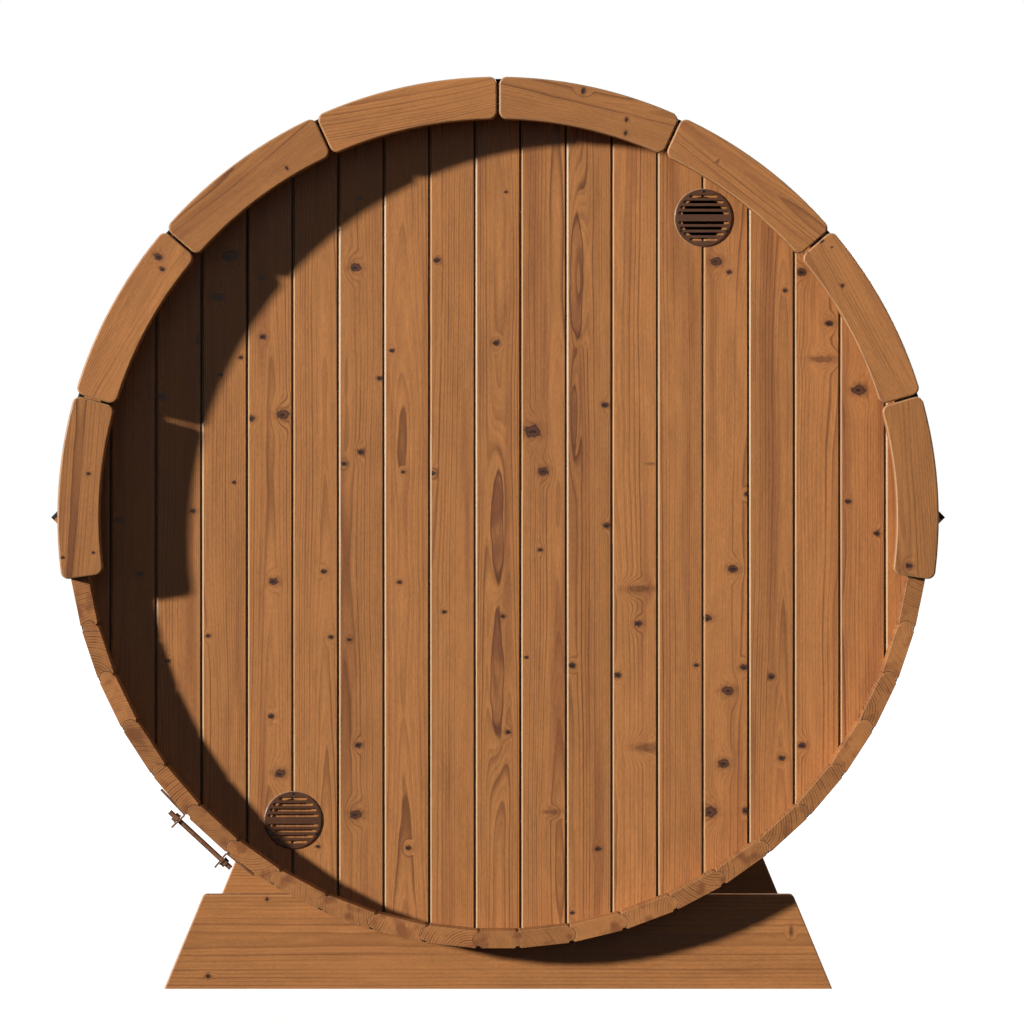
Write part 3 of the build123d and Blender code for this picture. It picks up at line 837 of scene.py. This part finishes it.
def cutBoard(node, count, face, facing, settings):
    mesh = mergedCopy(node)
    left = (count - 0.5) * boardWidth + settings["jointGap"] / 2
    right = (count + 0.5) * boardWidth - settings["jointGap"] / 2
    cutAcross(mesh, (left, 0, 0), (1, 0, 0), clearInner=True)
    cutAcross(mesh, (right, 0, 0), (1, 0, 0), clearOuter=True)
    if not mesh.faces:
        mesh.free()
        return None
    capHoles(mesh)
    easedSide = left if facing < 0 else right
    for vert in mesh.verts:
        if abs(vert.co.x - easedSide) < weld and 3 * mm < abs(vert.co.y - face) < 5 * mm:
            vert.co.y = face - facing * settings["easedDepth"]
    flatten(mesh)
    roundEdges(
        mesh, settings["arris"], settings["arrisSegments"], least=20.0,
        wanted=lambda edge: all(abs(vert.co.y - face) < settings["arrisDepth"] for vert in edge.verts),
    )
    return mesh


def inMetres(spots):
    return [tuple(value * mm for value in spot) for spot in spots]


def boardsFrom(node, facing, settings, chance=None):
    boards = []
    face = faceOf(node, facing)

    def facetLightAndShade(side):  # painted highlight on the facet that looks left towards the key sun, painted shade on the one that looks right
        bend = side.normal.y * facing
        if not 0.2 < bend < 0.97 or side.calc_center_median().y * facing < face * facing - 6 * mm:
            return 0.0
        return 1.0 if side.normal.x * facing > 0 else -1.0

    for count in range(-settings["boardsEachSide"], settings["boardsEachSide"] + 1):
        mesh = cutBoard(node, count, face, facing, settings)
        if mesh is None:
            continue
        if chance is None:
            behind, shift, lean, dive, tone = boardPiths[count]
            pith = (behind * mm, shift * mm, lean, dive)
            knots, hearts = inMetres(boardKnots.get(count, ())), inMetres(boardHearts.get(count, ()))
        else:
            pith = randomPith(chance)
            tone = chance.uniform(-0.5, 0.5)
            low, high = [corner.z - axisHeight for corner in boxOf(mesh)]
            knots = randomKnots(chance, low, high, boardWidth, settings)
            hearts = []
        place = boardFrame(count * boardWidth, face, facing)
        boards.append(markPlank(mesh, place, pith, tone, knots, hearts, facetLightAndShade))
    return boards


finishPiece("ventWallBoards", boardsFrom("vent_wall", -1, endWall), wallWood, ["vent_wall"])
for panel in ("left", "right", "over", "under"):
    node = "door_wall_" + panel
    boards = boardsFrom(node, 1, endWall, random.Random(node))
    finishPiece("doorWallBoards_" + panel, boards, wallWood, [node])
print("end walls ready")


# ---- staves
staves = {
    "arris": 0.8 * mm, "radius": 0.99,
    "knotReach": 0.11, "knotSpacing": 0.5, "knotRadius": (4 * mm, 10 * mm),
}


def outwards(middle):  # away from the barrel's axis
    return Vector((middle.x, 0, middle.z - axisHeight)).normalized()


def staveFrame(mesh):
    low, high = boxOf(mesh)
    out = outwards((low + high) / 2)
    along = Vector((0, 1, 0))
    return plankFrame(out.cross(along), out, along, Vector((0, 0, axisHeight)) + out * staves["radius"])


def stavesFrom(node, settings, chance):
    planks = []
    whole = mergedCopy(node)
    for mesh in looseParts(whole):
        flatten(mesh)
        roundEdges(
            mesh, settings["arris"], 1,
            wanted=lambda edge: all(abs(abs(vert.co.y) - staveEnd) < 5 * weld for vert in edge.verts),
        )
        pith = (  # off to one side, so that the rings cross the stave's end
            chance.uniform(-0.06, 0.09), chance.choice((-1, 1)) * chance.uniform(0.05, 0.15),
            chance.uniform(-0.004, 0.004), chance.uniform(-0.006, 0.006),
        )
        knots = randomKnots(chance, -staveEnd, staveEnd, settings["knotReach"], settings)
        tone = chance.uniform(-1.2, 0.9)
        # the rounded edges of the stave ends get a painted highlight
        planks.append(markPlank(mesh, staveFrame(mesh), pith, tone, knots, (), edgeHighlightFaces(0.6)))
    whole.free()
    return planks


staveNodes = ["keel_stave", "crown_stave"]
for group in ("bottom", "flank", "shoulder", "roof"):
    staveNodes += [f"{group}_staves_left", f"{group}_staves_right"]
for node in staveNodes:
    planks = stavesFrom(node, staves, random.Random(node))
    finishPiece(node + "_wood", planks, staveWood, [node])
print("staves ready")


# ---- fascia
fascia = {
    "arris": 1.3 * mm, "arrisSegments": 2, "arrisDepth": 4 * mm,
    "radius": 0.96, "halfLength": 0.2, "halfWidth": 0.07,
    "knotReach": 0.08, "knotSpacing": 0.2, "knotRadius": (3.5 * mm, 7 * mm),
}
nearFasciaKnots = (  # sideways and above the axis, and radius, in mm
    (195, 977, 6.5), (294, 911, 5), (292, 880, 5), (503, 816, -3.5), (742, 632, 4.5),
    (789, 531, 4.2), (709, 607, 2.2), (765, 619, 2.2), (-484, 800, 4.5), (-779, 597, 9),
    (-770, 569, 6), (-938, 100, 4.6), (-927, -81, 3.8), (-997, -92, 4.2), (941, -111, 6.5),
)


def knotsOn(place, face):  # those of the near fascia's knots that stand on this segment
    knots = []
    toPlank = place.inverted()
    for across, height, radius in nearFasciaKnots:
        spot = toPlank @ Vector((across * mm, face, axisHeight + height * mm))
        if abs(spot.z) < fascia["halfLength"] + 10 * mm and abs(spot.x) < fascia["halfWidth"]:
            knots.append((spot.x, spot.z, radius * mm))
    return knots


def fasciaFrom(node, facing, settings, chance):
    planks = []
    whole = mergedCopy(node)
    face = faceOf(node, facing)
    for mesh in looseParts(whole):
        flatten(mesh)
        roundEdges(
            mesh, settings["arris"], settings["arrisSegments"],
            wanted=lambda edge: any(abs(vert.co.y - face) < settings["arrisDepth"] for vert in edge.verts),
        )
        out = outwards(sum((vert.co for vert in mesh.verts), Vector()) / len(mesh.verts))
        front = Vector((0, facing, 0))
        origin = Vector((0, face, axisHeight)) + out * settings["radius"]
        place = plankFrame(out, front, out.cross(front), origin)
        pith = randomPith(chance, 0.03, 0.12, 0.07)
        reach = settings["halfLength"]
        knots = randomKnots(chance, -reach, reach, settings["knotReach"], settings)
        if facing < 0:
            knots = knotsOn(place, face)
        tone = chance.uniform(-0.7, 0.9)
        # the rounded front edges of the fascia get a painted highlight
        planks.append(markPlank(mesh, place, pith, tone, knots, (), edgeHighlightFaces(0.55, facing)))
    whole.free()
    return planks


for end, facing in (("near", -1), ("far", 1)):
    for side in ("left", "right"):
        node = f"fascia_{end}_{side}"
        planks = fasciaFrom(node, facing, fascia, random.Random(node))
        finishPiece(node + "_wood", planks, fasciaWood, [node])
print("fascia ready")


# ---- cradles, battens, door woodwork
def levelPlank(node, along, front, name, material, chance, arris=0.0, knots=(), pith=None):
    whole = mergedCopy(node)
    planks = []
    along, front = Vector(along), Vector(front)
    for mesh in looseParts(whole):
        flatten(mesh)
        if arris:
            roundEdges(mesh, arris, 2)
        low, high = boxOf(mesh)
        place = plankFrame(front.cross(along), front, along, (low + high) / 2)
        own = pith or randomPith(chance)
        tone = chance.uniform(-0.6, 0.6)
        # rounded edges get a painted highlight
        planks.append(markPlank(mesh, place, own, tone, knots, (), edgeHighlightFaces(0.3 if arris else 0.0)))
    whole.free()
    finishPiece(name, planks, material, [node])


cradleKnots = {  # height from the middle, sideways, radius
    "cradle_near": ((-0.0796, -0.673, 5 * mm), (0.0989, -0.536, 4 * mm), (0.0225, 0.679, -6 * mm)),
    "cradle_far": ((0.04, 0.31, 6 * mm), (-0.05, -0.42, 5 * mm)),
}
cradlePith = (0.045, 0.004, 0.001, 0.002)
up, nearward, farward = (0, 0, 1), (0, -1, 0), (0, 1, 0)
for node, facing in (("cradle_near", -1), ("cradle_far", 1)):
    levelPlank(
        node, (1, 0, 0), (0, facing, 0), node + "_wood", cradleWood, random.Random(node + "a"),
        arris=1.2 * mm, knots=cradleKnots[node], pith=cradlePith,
    )
for side in ("left", "right"):
    node, name = "roof_batten_" + side, "roofBatten_" + side
    levelPlank(node, farward, (1, 0, 0), name, staveWood, random.Random(side))
levelPlank("vent_damper_lower", up, nearward, "ventDamper", wallWood, random.Random(3))
levelPlank("door_pull", up, farward, "doorPull", doorWood, random.Random(4), arris=2.5 * mm)
boards = boardsFrom("door_leaf", 1, endWall, random.Random("door_leaf"))
finishPiece("doorLeafBoards", boards, doorWood, ["door_leaf"])
chance = random.Random(8)
levelPlank("door_frame", up, farward, "doorFrame", doorWood, chance, arris=1.5 * mm)
print("cradles and door ready")


# ---- vent covers, hinges, steel
paintedRimHighlight = {"width": 3.6 * mm, "amount": 0.75}  # the steeper facets of a vent cover's rounded outer edge are painted paler, a painted highlight


def paintRimHighlight(mesh, node):
    low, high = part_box(node)
    centre = (low + high) / 2
    inner = (high.x - low.x) / 2 - paintedRimHighlight["width"]
    layer = mesh.loops.layers.float.new("arris")
    for face in mesh.faces:
        middle = face.calc_center_median()
        outside = math.hypot(middle.x - centre.x, middle.z - centre.z) > inner
        for loop in face.loops:
            loop[layer] = paintedRimHighlight["amount"] if outside and 0.15 < -face.normal.y < 0.7 else 0.0


def smoothCopy(node, name, material, sharp=34.0, arris=0.0, rim=False):
    mesh = mergedCopy(node)
    if arris:
        flatten(mesh)
        roundEdges(mesh, arris, 2, least=40.0)
    if rim:
        paintRimHighlight(mesh, node)
    data = bpy.data.meshes.new(name)
    mesh.to_mesh(data)
    mesh.free()
    return finishMesh(name, data, material, [node], sharp)


for level in ("upper", "lower"):
    node = "vent_cover_" + level
    # the covers' rounded rims get a painted highlight
    smoothCopy(node, "ventCover_" + level, ventPlastic, 50.0, arris=0.9 * mm, rim=True)
for place in ("near", "middle", "far"):
    smoothCopy("band_" + place, "steelBand_" + place, bandSteel)
    node = "tensioner_" + place
    smoothCopy(node, "bandTensioner_" + place, tensionSteel, arris=0.4 * mm)
smoothCopy("door_hinges", "doorHinges", hingeSteel)
smoothCopy("roof_covering", "roofCovering", roofFelt)
for side in ("left", "right"):
    smoothCopy("roof_edge_" + side, "roofEdge_" + side, roofFelt)
print("steel, felt and covers ready")


# ---- shingles, ridge caps and screws, repeated by Geometry Nodes
shingles = {
    "Courses": 10,
    "Tabs": 7,
    "Exposure": 0.14,
    "First Angle": math.radians(2.3),
    "Radius": 1.0004,
    "Thickness": 2.0 * mm,
    "Gap": 6.0 * mm,
    "Length": 2.298,
    "Axis Height": axisHeight,
}
shingleSeed = 4
ridge = {
    "Caps": 16,
    "Width": 0.262,
    "Radius": 1.0044,
    "Thickness": 2.0 * mm,
    "Length": 2.298,
    "Axis Height": axisHeight,
    "Seed": 9,
}
screw = {
    "radius": 3.4 * mm, "height": 1.5 * mm, "fromEdge": 6.2 * mm,
    "hingeLevels": (-0.62, 0.0, 0.62), "hingeSpread": 22 * mm, "hingeRise": 33 * mm, "leafDepth": 2.95 * mm,
}


# A thin slab from a grid, bent round the barrel along x and tilted so that it lies on the one below
def bentSlab(tree, wide, deep, radius, thickness, slope, slopeAxis):
    grid = wiredNode(tree, "GeometryNodeMeshGrid", Vertices_X=9, Vertices_Y=2, Size_X=wide, Size_Y=deep)
    spot = splitVector(tree, addNode(tree, "GeometryNodeInputPosition").outputs[0])
    drop = over(tree, math2(tree, "POWER", math2(tree, "ABSOLUTE", spot[0]), 2.0), radius)
    rise = times(tree, spot[slopeAxis], slope)
    offset = vectorFrom(tree, 0.0, 0.0, minus(tree, rise, times(tree, drop, 0.5)))
    bent = wiredNode(tree, "GeometryNodeSetPosition", Geometry=grid.outputs["Mesh"], Offset=offset).outputs[0]
    top = wiredNode(tree, "GeometryNodeExtrudeMesh", Mesh=bent, Offset_Scale=thickness, Individual=False)
    under = wiredNode(tree, "GeometryNodeFlipFaces", Mesh=bent)
    joined = addNode(tree, "GeometryNodeJoinGeometry")
    link(tree, top.outputs["Mesh"], joined.inputs[0])
    link(tree, under.outputs[0], joined.inputs[0])
    welded = wiredNode(tree, "GeometryNodeMergeByDistance", Geometry=joined.outputs[0], Distance=weld)
    return welded.outputs[0]


# Puts the instance on every wanted point, gives each copy a tone of its own and makes them one mesh
def spreadCopies(tree, points, instance, made, paint, seed, wanted=True, turn=None, scale=(1.0, 1.0, 1.0)):
    copies = wiredNode(
        tree, "GeometryNodeInstanceOnPoints", Points=points, Instance=instance, Selection=wanted, Scale=scale
    )
    if turn is not None:
        turned = wiredNode(tree, "FunctionNodeEulerToRotation", Euler=turn)
        link(tree, turned.outputs[0], copies.inputs["Rotation"])
    chance = addNode(tree, "FunctionNodeRandomValue", data_type="FLOAT")
    chance.inputs[2].default_value = -1.0
    chance.inputs[3].default_value = 1.0
    link(tree, seed, chance.inputs["Seed"])
    toned = addNode(tree, "GeometryNodeStoreNamedAttribute", data_type="FLOAT", domain="INSTANCE")
    for name, value in (("Name", "tone"), ("Geometry", copies.outputs[0]), ("Value", chance.outputs[1])):
        link(tree, value, toned.inputs[name])
    real = wiredNode(tree, "GeometryNodeRealizeInstances", Geometry=toned.outputs[0])
    painted = wiredNode(tree, "GeometryNodeSetMaterial", Geometry=real.outputs[0], Material=paint)
    link(tree, painted.outputs[0], made["Geometry"])


def newTree(name, floats, whole):
    inputs = ["Geometry:Geometry", *floats, *[label + ":Int" for label in whole], "Material:Material"]
    return newGroup(name, inputs, ["Geometry:Geometry"], "GeometryNodeTree")


def makeShingleTree():
    floats = ("Exposure", "First Angle", "Radius", "Thickness", "Gap", "Length", "Axis Height", "Side")
    tree, given, made = newTree("roofShingles", floats, ("Courses", "Tabs", "Seed"))
    perCourse = plus(tree, given["Tabs"], 1.0)
    points = wiredNode(tree, "GeometryNodePoints", Count=times(tree, given["Courses"], perCourse))
    count = addNode(tree, "GeometryNodeInputIndex").outputs[0]
    course = math2(tree, "FLOOR", over(tree, plus(tree, count, 0.5), perCourse))
    tab = minus(tree, count, times(tree, course, perCourse))
    shifted = minus(tree, tab, times(tree, math2(tree, "MODULO", course, 2.0), 0.5))
    width = over(tree, given["Length"], given["Tabs"])
    ends = []
    for later in (0.0, 1.0):
        place = times(tree, plus(tree, shifted, later), width)
        ends.append(math2(tree, "MINIMUM", math2(tree, "MAXIMUM", place, 0.0), given["Length"]))
    span = minus(tree, ends[1], ends[0])
    middle = times(tree, minus(tree, plus(tree, ends[0], ends[1]), given["Length"]), 0.5)
    step = over(tree, given["Exposure"], given["Radius"])
    angle = plus(tree, given["First Angle"], times(tree, plus(tree, course, 0.95), step))
    reach = plus(tree, given["Radius"], given["Thickness"])
    sideways = times(tree, times(tree, reach, math2(tree, "COSINE", angle)), given["Side"])
    height = plus(tree, times(tree, reach, math2(tree, "SINE", angle)), given["Axis Height"])
    spot = vectorFrom(tree, sideways, middle, height)
    placed = wiredNode(tree, "GeometryNodeSetPosition", Geometry=points.outputs[0], Position=spot)
    turn = times(tree, minus(tree, math.pi / 2, angle), given["Side"])
    slope = times(tree, over(tree, given["Thickness"], given["Exposure"]), given["Side"])
    wide = times(tree, given["Exposure"], 1.9)
    slab = bentSlab(tree, wide, 1.0, given["Radius"], given["Thickness"], slope, 0)
    spreadCopies(
        tree, placed.outputs[0], slab, made, given["Material"], given["Seed"],
        wanted=math2(tree, "GREATER_THAN", span, 0.02),
        turn=vectorFrom(tree, 0.0, turn, 0.0),
        scale=vectorFrom(tree, 1.0, minus(tree, span, given["Gap"]), 1.0),
    )
    return tree


def makeRidgeTree():
    floats = ("Width", "Radius", "Thickness", "Length", "Axis Height")
    tree, given, made = newTree("ridgeCaps", floats, ("Caps", "Seed"))
    exposure = over(tree, given["Length"], plus(tree, given["Caps"], 0.35))
    points = wiredNode(tree, "GeometryNodePoints", Count=given["Caps"])
    count = addNode(tree, "GeometryNodeInputIndex").outputs[0]
    along = times(tree, plus(tree, count, 0.675), exposure)
    along = minus(tree, along, times(tree, given["Length"], 0.5))
    height = plus(tree, given["Radius"], given["Axis Height"])
    spot = vectorFrom(tree, 0.0, along, height)
    placed = wiredNode(tree, "GeometryNodeSetPosition", Geometry=points.outputs[0], Position=spot)
    slope = times(tree, over(tree, given["Thickness"], exposure), -1.0)
    deep = times(tree, exposure, 1.35)
    slab = bentSlab(tree, given["Width"], deep, given["Radius"], given["Thickness"], slope, 1)
    spreadCopies(tree, placed.outputs[0], slab, made, given["Material"], given["Seed"])
    return tree


def makeScrewTree():
    tree, given, made = newTree("screwHeads", ("Radius", "Height", "Facing"), ("Seed",))
    points = wiredNode(tree, "GeometryNodeMeshToPoints", Mesh=given["Geometry"])
    head = wiredNode(
        tree, "GeometryNodeMeshCone", Vertices=16, Radius_Top=times(tree, given["Radius"], 0.72),
        Radius_Bottom=given["Radius"], Depth=given["Height"],
    )
    ring = wiredNode(
        tree, "GeometryNodeExtrudeMesh", Mesh=head.outputs["Mesh"], Selection=head.outputs["Top"],
        Offset_Scale=0.0, Individual=False,
    )
    inner = wiredNode(
        tree, "GeometryNodeScaleElements",
        Geometry=ring.outputs["Mesh"], Selection=ring.outputs["Top"], Scale=0.5,
    )
    sunk = wiredNode(
        tree, "GeometryNodeExtrudeMesh", Mesh=inner.outputs["Geometry"], Selection=ring.outputs["Top"],
        Offset_Scale=times(tree, given["Height"], -0.6), Individual=False,
    )
    turn = times(tree, given["Facing"], -math.pi / 2)
    spreadCopies(
        tree, points.outputs[0], sunk.outputs["Mesh"], made, given["Material"], given["Seed"],
        turn=vectorFrom(tree, turn, 0.0, 0.0),
    )
    return tree


def growMesh(name, tree, values, corners=()):
    base = bpy.data.meshes.new(name + "Base")
    base.from_pydata(list(corners), [], [])
    grown = bpy.data.objects.new(name + "Base", base)
    scene.collection.objects.link(grown)
    live = grown.modifiers.new(name, "NODES")
    live.node_group = tree
    for item in tree.interface.items_tree:
        if item.in_out == "INPUT" and item.name in values:
            live[item.identifier] = values[item.name]
    bakeModifiers(grown)
    mesh = grown.data
    bpy.data.objects.remove(grown)
    mesh.name = name
    return mesh


def growPiece(name, tree, values, material, corners=()):
    mesh = growMesh(name, tree, dict(values, Material=material), corners)
    finishMesh(name, mesh, material)


shingleTree = makeShingleTree()
for side, sign in (("left", -1), ("right", 1)):
    values = dict(shingles, Side=float(sign), Seed=shingleSeed + sign)
    growPiece("roofShingles_" + side, shingleTree, values, roofFelt)
growPiece("ridgeCaps", makeRidgeTree(), ridge, roofFelt)

screwTree = makeScrewTree()
for level in ("upper", "lower"):
    low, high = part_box("vent_cover_" + level)
    centre = (low + high) / 2
    ring = (high.x - low.x) / 2 - screw["fromEdge"]
    corners = []
    for degrees in (90, 210, 330):
        angle = math.radians(degrees)
        across, rise = ring * math.cos(angle), ring * math.sin(angle)
        corners.append((centre.x + across, low.y + 0.05 * mm, centre.z + rise))
    values = {"Radius": screw["radius"], "Height": screw["height"], "Facing": -1.0, "Seed": 1}
    growPiece("ventScrews_" + level, screwTree, values, hingeSteel, corners)
low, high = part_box("door_hinges")
corners = []
for level in screw["hingeLevels"]:
    for across in (-screw["hingeSpread"], screw["hingeSpread"]):
        for rise in (-screw["hingeRise"], 0.0, screw["hingeRise"]):
            middle = (low.x + high.x) / 2
            corners.append((middle + across, low.y + screw["leafDepth"], axisHeight + level + rise))
values = dict(values, Facing=1.0, Seed=2)
growPiece("hingeScrews", screwTree, values, hingeSteel, corners)
print("shingles and screws ready")
